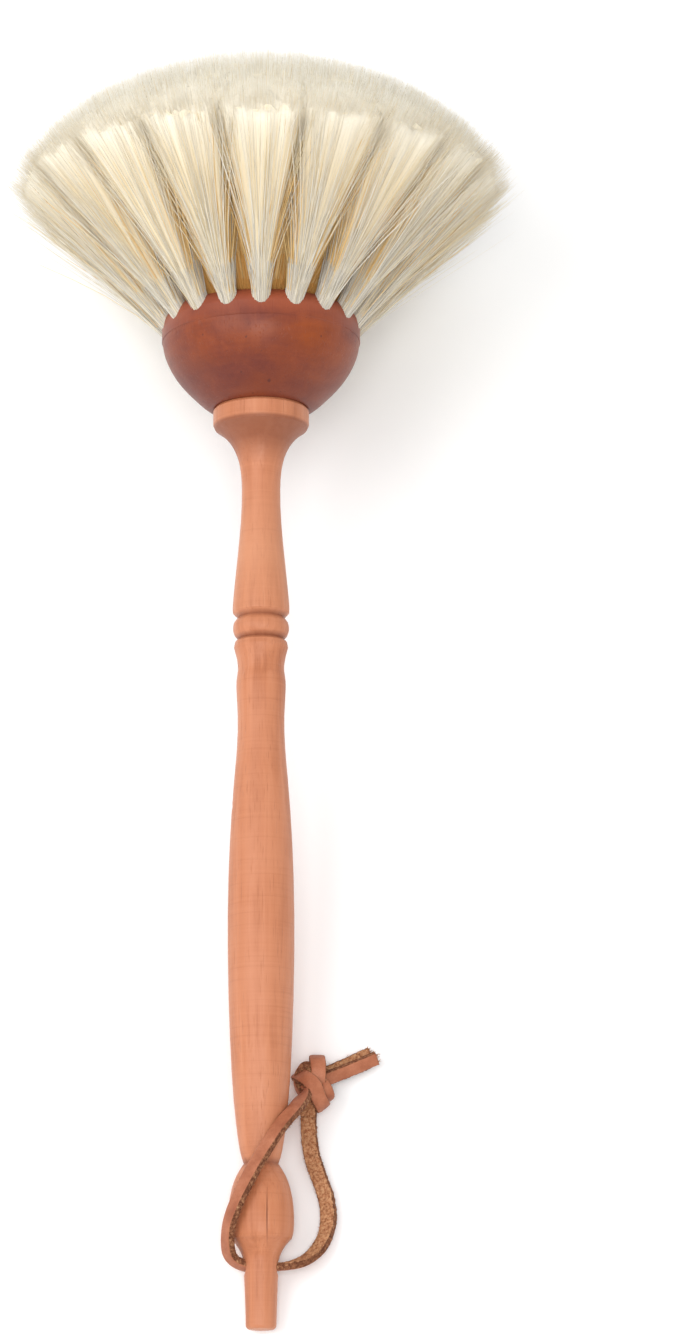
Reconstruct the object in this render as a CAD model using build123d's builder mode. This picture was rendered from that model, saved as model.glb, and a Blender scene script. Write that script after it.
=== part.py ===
"""A round goat-hair bee brush lying on a table.

The turned handle lies in the Y-Z plane with its tail towards -Y and the head of the brush
towards +Y, tilted up by LIE_TILT because the wide fan of hair holds the head off the table.
Z = 0 is the table. Distances along the handle, called stations, run from its tail end.
"""

import math
import os

from build123d import *

os.makedirs("parts", exist_ok=True)

# ---- driving dimensions, in millimetres and degrees ----
LENGTH = 343.0  # tail end to the crown of the hair
LIE_TILT = 10.0  # how far the handle rises towards the head
TAIL_RISE = 4.07  # height of the axis above the table at the tail end

HOLE_STATION = 15.9  # cross hole for the thong
HOLE_DIAMETER = 4.4
COLLAR_STATION = 246.3  # where the head sits on the handle's collar
SPIGOT_RADIUS = 5.0
SPIGOT_LENGTH = 14.0
SOCKET_DEPTH = 14.8
GLUE_GAP = 0.05

HEAD_RADIUS = 26.8
HEAD_SHOULDER = 268.9  # top of the head's straight band
HEAD_RIM = 272.3  # where the rounded shoulder meets the top face
HEAD_RIM_RADIUS = 25.0
HEAD_CROWN = 275.5  # middle of the slightly domed top face

DOME_RADIUS = 90.8  # the hair is trimmed to this sphere
DOME_STATION = LENGTH - DOME_RADIUS
FAN_STATION = 346.0  # plane just past the crown, where the tufts' cells are laid out

TUFT_HOLE_RADIUS = 2.4
TUFT_CLEARANCE = 0.08
CELL_GAP = 0.5  # half of the gap between neighbouring tufts at the trimmed surface
STAPLE = (5.4, 0.35, 1.6)  # length, thickness and height of a flat wire anchor
STAPLE_LIFT = 0.6  # its height above the bottom of the hole

# name, count, mouth radius, mouth station, lean, hole depth, straight part past the mouth,
# inner and outer radius of the cell on the fan plane
RINGS = [
    ("outer", 18, 24.96, 269.54, 40.0, 10.5, 2.4, 60.4, 97.0),
    ("middle", 12, 16.5, 273.7, 23.0, 10.5, 1.6, 34.4, 59.0),
    ("inner", 6, 8.3, 274.9, 12.0, 10.5, 1.2, 13.4, 33.0),
]
CENTRE_DEPTH = 10.0
CENTRE_CELL_RADIUS = 11.8

# the lace from the knot over the handle, down its left side, through the cross hole and back
# to the knot on the right: across, along from the tail end, and height above the table
THONG_ROUTE = [
    (11.8, 62.4, 8.4),
    (9.9, 56.6, 15.6),
    (5.0, 49.6, 21.0),
    (-1.4, 39.2, 20.6),
    (-6.0, 30.4, 19.0),
    (-9.0, 23.2, 14.8),
    (-7.9, 15.66, 6.83),
    (7.9, 15.66, 6.83),
    (14.0, 19.8, 4.0),
    (17.4, 26.4, 2.5),
    (17.6, 34.2, 2.2),
    (14.8, 42.0, 2.2),
    (12.5, 49.4, 2.4),
    (12.4, 57.0, 4.2),
]
KNOT_MIDDLE = (13.4, 65.4, 5.2)
KNOT_RADIUS = 5.0
KNOT_HALF_LENGTH = 7.2
LACE_WIDTH = 3.8
LACE_THICKNESS = 2.0
LACE_END = (30.2, 74.0)  # where the two cut ends lie, across and along
LACE_END_HEIGHTS = {"lower": 0.3, "upper": 2.5}

# ---- frame of the lying brush ----
TILT = math.radians(LIE_TILT)
AXIS_DIR = Vector(0, math.cos(TILT), math.sin(TILT))
FACE_UP = Vector(0, -math.sin(TILT), math.cos(TILT))
# the hair's furthest point and the tail's end are equally far from the origin
TAIL_BACK = 3.9 * math.sin(TILT)
TAIL_Y = -(DOME_STATION * math.cos(TILT) + DOME_RADIUS - TAIL_BACK) / 2
TAIL = Vector(0, TAIL_Y, TAIL_RISE)
brush_axis = Axis(TAIL, AXIS_DIR)
side_plane = Plane(origin=TAIL, x_dir=(1, 0, 0), z_dir=FACE_UP)  # radius along x, station along y
cross_plane = Plane(origin=TAIL, x_dir=(1, 0, 0), z_dir=AXIS_DIR)


def on_brush(station, radius, turn):
    """Point at a station and radius, turned about the axis from its upper side."""
    around = FACE_UP * math.cos(turn) + Vector(math.sin(turn), 0, 0)
    return TAIL + AXIS_DIR * station + around * radius


def tuft_plane(station, radius, turn, lean):
    """Plane across a tuft's hole at its mouth: z points out of the hole, x around the ring."""
    outward = FACE_UP * math.cos(turn) + Vector(math.sin(turn), 0, 0)
    direction = AXIS_DIR * math.cos(lean) + outward * math.sin(lean)
    around = AXIS_DIR.cross(outward)
    return Plane(origin=on_brush(station, radius, turn), x_dir=around, z_dir=direction)


# ---- handle: one turned piece, from its tail pin to the spigot in the head ----
with BuildPart() as handle:
    with BuildSketch(side_plane):
        with BuildLine():
            pin = Polyline((0, 0), (3.0, 0))
            pin_edge = RadiusArc(pin @ 1, (3.95, 1.1), -1.1)
            taper = Polyline(pin_edge @ 1, (4.3, 12.0), (4.62, 17.4))
            flare = Spline(taper @ 1, (5.67, 20.5), (7.9, 23.2), tangents=[(0.05, 1), (1, 0.75)])
            bulb = Spline(
                flare @ 1,
                (8.55, 27.6),
                (7.9, 34.9),
                (6.6, 39.1),
                (4.5, 42.6),
                tangents=[(0.4, 1), (-0.7, 1)],
            )
            grip = Spline(
                bulb @ 1,
                (5.96, 48.9),
                (7.54, 64.6),
                (8.48, 85.6),
                (8.76, 104.0),
                (8.42, 123.0),
                (7.13, 144.0),
                (6.25, 163.0),
                (6.5, 171.5),
                (7.2, 180.2),
                tangents=[(0.4, 1), (0.3, 1)],
            )
            lower_groove = Polyline(grip @ 1, (6.95, 181.6), (6.1, 182.5), (6.95, 183.5))
            bead = ThreePointArc(lower_groove @ 1, (7.45, 185.2), (7.2, 187.0))
            upper_groove = Polyline(bead @ 1, (6.2, 188.4), (7.5, 189.8))
            neck = Spline(
                upper_groove @ 1,
                (7.45, 193.2),
                (6.1, 207.0),
                (5.15, 223.5),
                (7.1, 235.0),
                (12.4, 240.9),
                tangents=[(0.15, 1), (1, 0.6)],
            )
            collar = Polyline(
                neck @ 1,
                (12.9, 242.0),
                (12.9, 245.6),
                (12.4, COLLAR_STATION),
                (SPIGOT_RADIUS - GLUE_GAP, COLLAR_STATION),
                (SPIGOT_RADIUS - GLUE_GAP, COLLAR_STATION + SPIGOT_LENGTH - 0.8),
                (SPIGOT_RADIUS - 0.85, COLLAR_STATION + SPIGOT_LENGTH),
                (0, COLLAR_STATION + SPIGOT_LENGTH),
                (0, 0),
            )
        make_face()
    revolve(axis=brush_axis)
    with BuildSketch(Plane(origin=on_brush(HOLE_STATION, 0, 0), z_dir=(1, 0, 0))):
        Circle(HOLE_DIAMETER / 2)
    extrude(amount=10, both=True, mode=Mode.SUBTRACT)
handle.part.label = "handle"
export_step(handle.part, "parts/handle.step")

# ---- where every tuft sits ----
STEP_ANGLES = {name: 2 * math.pi / count for name, count, *_ in RINGS}
tuft_seats = []
for name, count, mouth, station, lean, depth, straight, cell_in, cell_out in RINGS:
    for index in range(count):
        seat = tuft_plane(station, mouth, index * STEP_ANGLES[name], math.radians(lean))
        tuft_seats.append((seat, depth))
tuft_seats.append((cross_plane.offset(HEAD_CROWN), CENTRE_DEPTH))

# ---- flat wire anchors, one across the bottom of every hole ----
with BuildPart() as tuft_anchors:
    for seat, depth in tuft_seats:
        with Locations(seat.offset(STAPLE_LIFT - depth).location):
            Box(*STAPLE, align=(Align.CENTER, Align.CENTER, Align.MIN))
tuft_anchors.part.label = "tuft_anchors"
export_step(tuft_anchors.part, "parts/tuft_anchors.step")

# ---- head: a turned bowl with a socket below and a blind hole for each tuft ----
with BuildPart() as head:
    with BuildSketch(side_plane):
        with BuildLine():
            floor_line = Polyline(
                (0, COLLAR_STATION + SOCKET_DEPTH),
                (SPIGOT_RADIUS, COLLAR_STATION + SOCKET_DEPTH),
                (SPIGOT_RADIUS, COLLAR_STATION),
                (13.0, COLLAR_STATION),
            )
            bowl = Spline(
                floor_line @ 1,
                (17.6, 249.6),
                (22.9, 255.5),
                (26.1, 262.0),
                (26.6, 264.9),
                tangents=[(1, 0.35), (0.1, 1)],
            )
            band = Polyline(bowl @ 1, (HEAD_RADIUS, 265.1), (HEAD_RADIUS, HEAD_SHOULDER))
            shoulder = RadiusArc(band @ 1, (HEAD_RIM_RADIUS, HEAD_RIM), -5.0)
            top = RadiusArc(shoulder @ 1, (0, HEAD_CROWN), -99.0)
            Line(top @ 1, floor_line @ 0)
        make_face()
    revolve(axis=brush_axis)
    for seat, depth in tuft_seats:
        with Locations(seat.offset(8).location):
            Hole(TUFT_HOLE_RADIUS, depth=depth + 8)
    for seat, depth in tuft_seats:
        with Locations(seat.offset(STAPLE_LIFT - depth).location):
            Box(*STAPLE, align=(Align.CENTER, Align.CENTER, Align.MIN), mode=Mode.SUBTRACT)
head.part.label = "head"
export_step(head.part, "parts/head.step")

# ---- tufts: round in the hole, flared to a cell of the fan, trimmed to the dome ----
ROOT_RADIUS = TUFT_HOLE_RADIUS - TUFT_CLEARANCE
FAN_PLANE = cross_plane.offset(FAN_STATION)
SLOT = (2 * TUFT_HOLE_RADIUS, STAPLE[1] + 0.1, STAPLE[2] + STAPLE_LIFT + 0.05)


def root_outline():
    """Eight corners of a tuft's root, starting on its outward side."""
    corners = [math.radians(22.5 + 45 * k) for k in range(8)]
    return [(ROOT_RADIUS * math.cos(a), ROOT_RADIUS * math.sin(a)) for a in corners]


def cell_outline(turn, half_angle, inner, outer):
    """Eight corners of a tuft's cell on the fan plane, in the same order as its root's."""
    outer_turns = [turn + half_angle * share for share in (1, 1 / 3, -1 / 3, -1)]
    inner_turns = [turn + half_angle * share for share in (-1, -1 / 3, 1 / 3, 1)]
    polar = [(outer, a) for a in outer_turns] + [(inner, a) for a in inner_turns]
    points = [(radius * math.sin(a), -radius * math.cos(a)) for radius, a in polar]
    return points


def make_tuft(node, seat, depth, straight, cell):
    """One tuft, written to its own file."""
    with BuildPart() as tuft:
        with BuildSketch(seat.offset(straight)):
            Polygon(*root_outline(), align=None)
        extrude(amount=-(depth + straight))
        with Locations(seat.offset(-depth).location):
            Box(*SLOT, align=(Align.CENTER, Align.CENTER, Align.MIN), mode=Mode.SUBTRACT)
        with BuildSketch(seat.offset(straight)) as start:
            Polygon(*root_outline(), align=None)
        with BuildSketch(FAN_PLANE) as end:
            Polygon(*cell, align=None)
        loft(sections=[start.sketch, end.sketch], ruled=True)
        with Locations(on_brush(DOME_STATION, 0, 0)):
            Sphere(DOME_RADIUS, mode=Mode.INTERSECT)
        split(bisect_by=Plane.XY, keep=Keep.TOP)
    tuft.part.label = node
    export_step(tuft.part, f"parts/{node}.step")
    return tuft.part


hair_volume = 0
for name, count, mouth, station, lean, depth, straight, cell_in, cell_out in RINGS:
    step = STEP_ANGLES[name]
    half_angle = step / 2 - CELL_GAP / ((cell_in + cell_out) / 2)
    for index in range(count):
        turn = index * step
        seat = tuft_plane(station, mouth, turn, math.radians(lean))
        cell = cell_outline(turn, half_angle, cell_in, cell_out)
        part = make_tuft(f"tuft_{name}_{index + 1:02d}", seat, depth, straight, cell)
        hair_volume += part.volume
centre_turns = [math.radians(22.5 + 45 * k) for k in range(8)]
centre_cell = [(CENTRE_CELL_RADIUS * math.cos(a), CENTRE_CELL_RADIUS * math.sin(a)) for a in centre_turns]
part = make_tuft("tuft_centre", cross_plane.offset(HEAD_CROWN), CENTRE_DEPTH, 1.0, centre_cell)
hair_volume += part.volume
print(f"hair volume {hair_volume:.0f} mm3")

# ---- knot: the overhand knot's outer form, lying on the table beside the handle ----
knot_middle = Vector(KNOT_MIDDLE[0], KNOT_MIDDLE[1] + TAIL_Y, KNOT_MIDDLE[2])
knot_plane = Plane(origin=knot_middle, x_dir=(1, 0, 0), z_dir=(0, 0, 1))
with BuildPart() as thong_knot:
    with BuildSketch(knot_plane):
        Ellipse(KNOT_RADIUS, KNOT_HALF_LENGTH)
        with Locations((KNOT_RADIUS, 0)):
            Rectangle(2 * KNOT_RADIUS, 3 * KNOT_HALF_LENGTH, mode=Mode.INTERSECT)
    revolve(axis=Axis(knot_middle, (0, 1, 0)))
thong_knot.part.label = "thong_knot"
export_step(thong_knot.part, "parts/thong_knot.step")

# ---- the lace's two cut ends, one on the other, running out of the knot ----
end_point = Vector(LACE_END[0], LACE_END[1] + TAIL_Y, 0)
end_start = Vector(knot_middle.X, knot_middle.Y, 0)
for name, height in LACE_END_HEIGHTS.items():
    across = Plane(
        origin=end_start + Vector(0, 0, height + LACE_THICKNESS / 2),
        x_dir=(0, 0, 1),
        z_dir=end_point - end_start,
    )
    with BuildPart() as lace_end:
        with BuildSketch(across):
            RectangleRounded(LACE_THICKNESS, LACE_WIDTH, 0.4)
        extrude(amount=(end_point - end_start).length)
        add(thong_knot.part, mode=Mode.SUBTRACT)
    lace_end.part.label = f"thong_end_{name}"
    export_step(lace_end.part, f"parts/thong_end_{name}.step")

# ---- thong: one lace through the cross hole, its two sides running into the knot ----
route = [Vector(x, y + TAIL_Y, z) for x, y, z in THONG_ROUTE]
radii = []
for before, corner, after in zip(route, route[1:], route[2:]):
    turned = (corner - before).get_angle(after - corner)
    shorter = min((corner - before).length, (after - corner).length)
    radii.append(0.45 * shorter / math.tan(math.radians(turned) / 2))
print("thong radii in diameters", [round(radius / LACE_WIDTH, 1) for radius in radii])
with BuildPart() as thong:
    with BuildLine() as thong_line:
        FilletPolyline(*route, radius=radii)
    with BuildSketch(Plane(origin=route[0], z_dir=route[1] - route[0])):
        Circle(LACE_WIDTH / 2)
    sweep(path=thong_line.wires()[0])
    thong_length = thong_line.wires()[0].length
    share = thong.part.volume / (math.pi * LACE_WIDTH**2 / 4 * thong_length)
    print(f"thong length {thong_length:.1f}, volume share {share:.4f}")
    add(thong_knot.part, mode=Mode.SUBTRACT)
thong.part.label = "thong"
export_step(thong.part, "parts/thong.step")
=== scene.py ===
"""Looks of the round bee brush: turned wood, goat hair and a leather thong around the fixed CAD frame.

Everything is in metres, in the CAD model's frame: +Z up from the table, +Y along the brush
towards the hair. Stations are distances along the handle's axis from its tail end.
"""

import math

import bpy
import numpy as np
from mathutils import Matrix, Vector


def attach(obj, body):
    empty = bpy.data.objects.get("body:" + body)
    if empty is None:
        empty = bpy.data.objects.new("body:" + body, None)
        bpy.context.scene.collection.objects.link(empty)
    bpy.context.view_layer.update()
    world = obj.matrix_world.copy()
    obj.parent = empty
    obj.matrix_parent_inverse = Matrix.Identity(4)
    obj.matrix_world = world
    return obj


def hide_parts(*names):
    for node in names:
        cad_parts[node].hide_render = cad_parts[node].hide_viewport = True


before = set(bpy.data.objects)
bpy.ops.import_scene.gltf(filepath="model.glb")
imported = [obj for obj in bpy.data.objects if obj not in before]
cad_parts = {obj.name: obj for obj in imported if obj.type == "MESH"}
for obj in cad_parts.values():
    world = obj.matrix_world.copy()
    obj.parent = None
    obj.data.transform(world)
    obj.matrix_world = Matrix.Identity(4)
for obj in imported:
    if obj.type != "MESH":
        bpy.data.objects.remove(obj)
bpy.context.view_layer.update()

MM = 0.001
LIE_TILT = math.radians(10.0)  # how far the handle rises towards the head
LENGTH = 343.0 * MM
DOME_RADIUS = 90.8 * MM
DOME_STATION = LENGTH - DOME_RADIUS
TAIL_RISE = 4.07 * MM
AXIS_DIR = Vector((0, math.cos(LIE_TILT), math.sin(LIE_TILT)))
FACE_UP = Vector((0, -math.sin(LIE_TILT), math.cos(LIE_TILT)))
# the tail end's lower edge and the dome's furthest point are equally far from the origin
TAIL_RADIUS = 3.9 * MM
TAIL_BACK = TAIL_RADIUS * AXIS_DIR.z
TAIL = Vector((0, (TAIL_BACK - DOME_STATION * AXIS_DIR.y - DOME_RADIUS) / 2, TAIL_RISE))
DOME_CENTRE = TAIL + AXIS_DIR * DOME_STATION


def on_brush(station, radius, turn):
    """Point at a station and radius, turned about the axis from its upper side."""
    around = FACE_UP * math.cos(turn) + Vector((math.sin(turn), 0, 0))
    return TAIL + AXIS_DIR * station + around * radius


# ---- camera: above the brush, a little towards its tail ----
CAMERA_LEAN = math.radians(23.7)  # from straight above, towards the tail
CAMERA_DISTANCE = 1.1957
CAMERA_AIM_STATION = 175 * MM
CAMERA_LENS = 121.4
SENSOR_WIDTH = 36
CAMERA_SHIFT = 0.0588


def add_camera():
    """The camera at the photograph's viewing angle."""
    data = bpy.data.cameras.new("camera")
    camera = bpy.data.objects.new("camera", data)
    bpy.context.scene.collection.objects.link(camera)
    back = Vector((0, -math.sin(CAMERA_LEAN), math.cos(CAMERA_LEAN)))
    camera.location = on_brush(CAMERA_AIM_STATION, 0, 0) + back * CAMERA_DISTANCE
    camera.rotation_euler = (CAMERA_LEAN, 0, 0)
    data.lens = CAMERA_LENS
    data.sensor_width = SENSOR_WIDTH
    data.shift_x = CAMERA_SHIFT
    data.clip_start = 0.01
    data.clip_end = 20
    bpy.context.scene.camera = camera


add_camera()


# ---- node helpers ----
class Shader:
    """Builds one material's nodes with short calls."""

    def __init__(self, name):
        self.material = bpy.data.materials.new(name)
        self.material.use_nodes = True
        self.tree = self.material.node_tree
        self.surface = self.tree.nodes["Principled BSDF"]

    def node(self, kind, **settings):
        made = self.tree.nodes.new(kind)
        for key, value in settings.items():
            setattr(made, key, value)
        return made

    def link(self, source, target):
        self.tree.links.new(source, target)

    def feed(self, socket, value):
        """Links an output, or sets a plain value."""
        if isinstance(value, bpy.types.NodeSocket):
            self.link(value, socket)
        else:
            socket.default_value = value

    def place(self, rotation=(0, 0, 0), scale=(1, 1, 1), shift=(0, 0, 0)):
        """Object coordinates, turned and stretched."""
        coordinates = self.node("ShaderNodeTexCoord")
        turned = self.node("ShaderNodeMapping", vector_type="TEXTURE")
        turned.inputs["Rotation"].default_value = rotation
        turned.inputs["Location"].default_value = shift
        self.link(coordinates.outputs["Object"], turned.inputs["Vector"])
        stretched = self.node("ShaderNodeVectorMath", operation="MULTIPLY")
        self.link(turned.outputs["Vector"], stretched.inputs[0])
        stretched.inputs[1].default_value = scale
        return stretched.outputs["Vector"]

    def noise(self, vector, scale, detail=2.0, roughness=0.5, distortion=0.0):
        made = self.node("ShaderNodeTexNoise")
        self.link(vector, made.inputs["Vector"])
        made.inputs["Scale"].default_value = scale
        made.inputs["Detail"].default_value = detail
        made.inputs["Roughness"].default_value = roughness
        made.inputs["Distortion"].default_value = distortion
        return made.outputs["Fac"]

    def ramp(self, value, stops):
        """A colour for every value, from (value, colour) stops."""
        made = self.node("ShaderNodeValToRGB")
        self.link(value, made.inputs["Fac"])
        elements = made.color_ramp.elements
        while len(elements) < len(stops):
            elements.new(0.5)
        for element, (position, colour) in zip(elements, stops):
            element.position = position
            element.color = (*colour, 1)
        return made.outputs["Color"]

    def between(self, value, low, high, to_low=0.0, to_high=1.0):
        """Maps a value's range onto another, and holds it at both ends."""
        made = self.node("ShaderNodeMapRange")
        self.feed(made.inputs["Value"], value)
        made.inputs["From Min"].default_value = low
        made.inputs["From Max"].default_value = high
        made.inputs["To Min"].default_value = to_low
        made.inputs["To Max"].default_value = to_high
        return made.outputs["Result"]

    def maths(self, operation, first, second=0.0):
        made = self.node("ShaderNodeMath", operation=operation)
        self.feed(made.inputs[0], first)
        self.feed(made.inputs[1], second)
        return made.outputs["Value"]

    def mix(self, share, first, second):
        """The first colour where the share is 0, the second where it is 1."""
        made = self.node("ShaderNodeMix", data_type="RGBA")
        self.feed(made.inputs["Factor"], share)
        for socket, value in ((made.inputs[6], first), (made.inputs[7], second)):
            self.feed(socket, value if isinstance(value, bpy.types.NodeSocket) else (*value, 1))
        return made.outputs[2]

    def axes(self, vector):
        """The vector's x, y and z."""
        made = self.node("ShaderNodeSeparateXYZ")
        self.link(vector, made.inputs["Vector"])
        return made.outputs

    def bump(self, height, strength, distance):
        made = self.node("ShaderNodeBump")
        made.inputs["Strength"].default_value = strength
        made.inputs["Distance"].default_value = distance
        self.link(height, made.inputs["Height"])
        self.link(made.outputs["Normal"], self.surface.inputs["Normal"])


# object coordinates with z along the brush's axis and the tail end at zero
ALONG_AXIS = (LIE_TILT - math.pi / 2, 0, 0)
TAIL_PLACE = tuple(TAIL)


def turned_wood(name, light, middle, dark, calm, mottle):
    """Wood turned on a lathe: long grain, fine dark pores, faint rings left by the tool.

    Returns the shader, the place along the axis, the colour, and the grain, pore and ring patterns.
    """
    s = Shader(name)
    s.surface.inputs["Specular IOR Level"].default_value = 0.28
    place = s.place(rotation=ALONG_AXIS, shift=TAIL_PLACE)
    grain_place = s.place(rotation=ALONG_AXIS, shift=TAIL_PLACE, scale=(1, 1, 0.045))
    pore_place = s.place(rotation=ALONG_AXIS, shift=TAIL_PLACE, scale=(1, 1, 0.05))
    ring_place = s.place(rotation=ALONG_AXIS, shift=TAIL_PLACE, scale=(0.02, 0.02, 1))
    grain = s.noise(grain_place, 330, detail=5, roughness=0.62, distortion=0.6)
    tone = s.noise(place, 38, detail=3, roughness=0.55)
    colour = s.ramp(grain, [(0.30, dark), (0.52, middle), (0.72, light)])
    colour = s.mix(s.between(tone, 0.35, 0.7), colour, mottle)
    colour = s.mix(calm, colour, middle)
    pores = s.noise(pore_place, 2600, detail=1, roughness=0.4)
    pore_share = s.between(pores, 0.64, 0.76, 0.0, 0.35)
    colour = s.mix(pore_share, colour, dark)
    rings = s.noise(ring_place, 900, detail=3, roughness=0.7)
    colour = s.mix(s.between(rings, 0.5, 0.72, 0.0, 0.22), colour, light)
    colour = s.mix(s.between(rings, 0.28, 0.44, 0.24, 0.0), colour, dark)
    return s, place, colour, grain, pores, rings


def paint(obj, *materials):
    """Gives an object these materials, in order."""
    while len(obj.material_slots) < len(materials):
        obj.data.materials.append(None)
    for slot, material in zip(obj.material_slots, materials):
        slot.material = material


def near(s, value, middle, half, share):
    """Falls from the share to nothing over half a width, on both sides of the middle."""
    distance = s.maths("ABSOLUTE", s.maths("SUBTRACT", value, middle))
    return s.between(distance, 0, half, share, 0)


def handle_material():
    """Pale wood with painted shade in its grooves, a dark grain line down the bulb and a dent near the
    tail.
    """
    light, middle, dark = (0.63, 0.262, 0.14), (0.52, 0.19, 0.09), (0.34, 0.105, 0.043)
    s, place, colour, grain, pores, rings = turned_wood(
        "handle_wood", light, middle, dark, 0.2, (0.58, 0.235, 0.125)
    )
    across, depth, station = s.axes(place)
    # painted shade in the two grooves of the bead and in the groove above the bulb
    for groove, half in ((182.5, 1.1), (188.4, 1.1), (42.7, 1.5)):
        colour = s.mix(near(s, station, groove * MM, half * MM, 0.7), colour, (0.20, 0.06, 0.03))
    # the neck is paler, the bulb and the flare below the collar are browner
    colour = s.mix(near(s, station, 205 * MM, 22 * MM, 0.5), colour, (0.66, 0.30, 0.165))
    colour = s.mix(near(s, station, 30 * MM, 15 * MM, 0.45), colour, (0.45, 0.15, 0.06))
    flare = s.between(station, 230 * MM, 237 * MM)
    flare = s.maths("MULTIPLY", flare, s.between(station, 241.3 * MM, 242.1 * MM, 0.75, 0))
    colour = s.mix(flare, colour, (0.21, 0.062, 0.03))
    # a dark grain line down the bulb, and a dent near the tail end, on the upper side
    wobble = s.maths("MULTIPLY", s.maths("SUBTRACT", grain, 0.5), 0.8 * MM)
    line = near(s, s.maths("ADD", across, wobble), 1.6 * MM, 0.3 * MM, 0.75)
    line = s.maths("MULTIPLY", line, near(s, station, 28.5 * MM, 8.5 * MM, 1.6))
    colour = s.mix(line, colour, (0.16, 0.045, 0.02))
    bowed = s.maths("ADD", station, s.maths("MULTIPLY", s.maths("ABSOLUTE", across), 0.35))
    dent_along = near(s, bowed, 7.6 * MM, 0.7 * MM, 1)
    dent_across = near(s, across, 0.2 * MM, 1.7 * MM, 1.5)
    dent = s.maths("MULTIPLY", dent_along, dent_across)
    dent = s.maths("MULTIPLY", dent, s.between(depth, 0, 1 * MM, 0, 1))
    colour = s.mix(s.maths("MULTIPLY", dent, 0.45), colour, (0.30, 0.10, 0.05))
    s.link(colour, s.surface.inputs["Base Color"])
    s.link(s.between(grain, 0.3, 0.7, 0.5, 0.36), s.surface.inputs["Roughness"])
    height = s.maths("SUBTRACT", s.maths("MULTIPLY", rings, 0.5), s.between(pores, 0.6, 0.75))
    height = s.maths("SUBTRACT", height, s.maths("MULTIPLY", dent, 2.0))
    s.bump(height, 0.35, 0.0002)
    return s.material


def head_material():
    """Dark red-brown wood, cloudy, with painted light on the shoulder under the tufts."""
    light, middle, dark = (0.30, 0.072, 0.027), (0.205, 0.043, 0.02), (0.125, 0.026, 0.015)
    s, place, colour, _, pores, rings = turned_wood(
        "head_wood", light, middle, dark, 0.35, (0.18, 0.038, 0.026)
    )
    station = s.axes(place)[2]
    cloud_place = s.place(rotation=ALONG_AXIS, shift=TAIL_PLACE, scale=(1, 1, 1.9))
    smoke_place = s.place(rotation=ALONG_AXIS, shift=(0.1, 0, 0), scale=(1, 1, 1.7))
    cloud = s.noise(cloud_place, 52, detail=5, roughness=0.6, distortion=0.3)
    smoke = s.noise(smoke_place, 44, detail=5, roughness=0.6)
    colour = s.mix(s.between(cloud, 0.35, 0.7, 0, 0.75), colour, (0.33, 0.068, 0.009))
    colour = s.mix(s.between(smoke, 0.42, 0.75, 0, 0.6), colour, (0.10, 0.022, 0.019))
    # it darkens towards the collar
    colour = s.mix(s.between(station, 246 * MM, 262 * MM, 0.45, 0), colour, (0.11, 0.023, 0.016))
    # painted light: the shoulder above the straight band faces more upwards and is painted paler and
    # pinker, and the painted light fades out below
    wander = s.maths("MULTIPLY", s.maths("SUBTRACT", cloud, 0.5), 8 * MM)
    shoulder_painted_light = s.between(s.maths("ADD", station, wander), 263.5 * MM, 270.0 * MM, 0, 0.7)
    colour = s.mix(shoulder_painted_light, colour, (0.35, 0.088, 0.045))
    broken = s.between(smoke, 0.4, 0.6, 0.0, 0.45)
    line = s.maths("MULTIPLY", near(s, station, 265.0 * MM, 0.5 * MM, 1), broken)
    colour = s.mix(line, colour, (0.12, 0.03, 0.02))
    fleck = s.between(s.noise(place, 620, detail=1), 0.76, 0.80, 0, 0.7)
    colour = s.mix(fleck, colour, (0.08, 0.02, 0.015))
    s.link(colour, s.surface.inputs["Base Color"])
    s.link(s.between(cloud, 0.3, 0.7, 0.46, 0.34), s.surface.inputs["Roughness"])
    height = s.maths("SUBTRACT", s.maths("MULTIPLY", rings, 0.6), s.between(pores, 0.6, 0.75))
    s.bump(height, 0.3, 0.0002)
    return s.material


def steel_material():
    """Drawn wire."""
    s = Shader("anchor_steel")
    streak = s.noise(s.place(scale=(1, 1, 8)), 900, detail=2)
    colour = s.ramp(streak, [(0.3, (0.38, 0.38, 0.39)), (0.7, (0.62, 0.62, 0.63))])
    s.link(colour, s.surface.inputs["Base Color"])
    s.surface.inputs["Metallic"].default_value = 1
    s.link(s.between(streak, 0.3, 0.7, 0.32, 0.5), s.surface.inputs["Roughness"])
    return s.material


paint(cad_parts["handle"], handle_material())
paint(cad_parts["head"], head_material())
paint(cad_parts["tuft_anchors"], steel_material())


# ---- meshes ----
def mesh_object(name, points, faces, smooth=True):
    """A mesh object from an array of points and an array of faces with the same corner count."""
    mesh = bpy.data.meshes.new(name)
    faces = np.asarray(faces, dtype=np.int32)
    corners = faces.shape[1]
    mesh.vertices.add(len(points))
    mesh.vertices.foreach_set("co", np.asarray(points, dtype=np.float32).ravel())
    mesh.loops.add(faces.size)
    mesh.loops.foreach_set("vertex_index", faces.ravel())
    mesh.polygons.add(len(faces))
    mesh.polygons.foreach_set("loop_start", np.arange(0, faces.size, corners, dtype=np.int32))
    mesh.polygons.foreach_set("use_smooth", np.full(len(faces), smooth))
    mesh.update(calc_edges=True)
    mesh.validate()
    obj = bpy.data.objects.new(name, mesh)
    bpy.context.scene.collection.objects.link(obj)
    return obj


def tube_faces(rings, corners):
    """Quads between rings of points, each ring with the same number of corners."""
    ring, corner = np.meshgrid(np.arange(rings - 1), np.arange(corners), indexing="ij")
    here = ring * corners + corner
    beside = ring * corners + (corner + 1) % corners
    return np.stack([here, beside, beside + corners, here + corners], axis=-1).reshape(-1, 4)


def unit(vectors):
    """The same directions at length 1."""
    return vectors / np.linalg.norm(vectors, axis=-1, keepdims=True)


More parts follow.
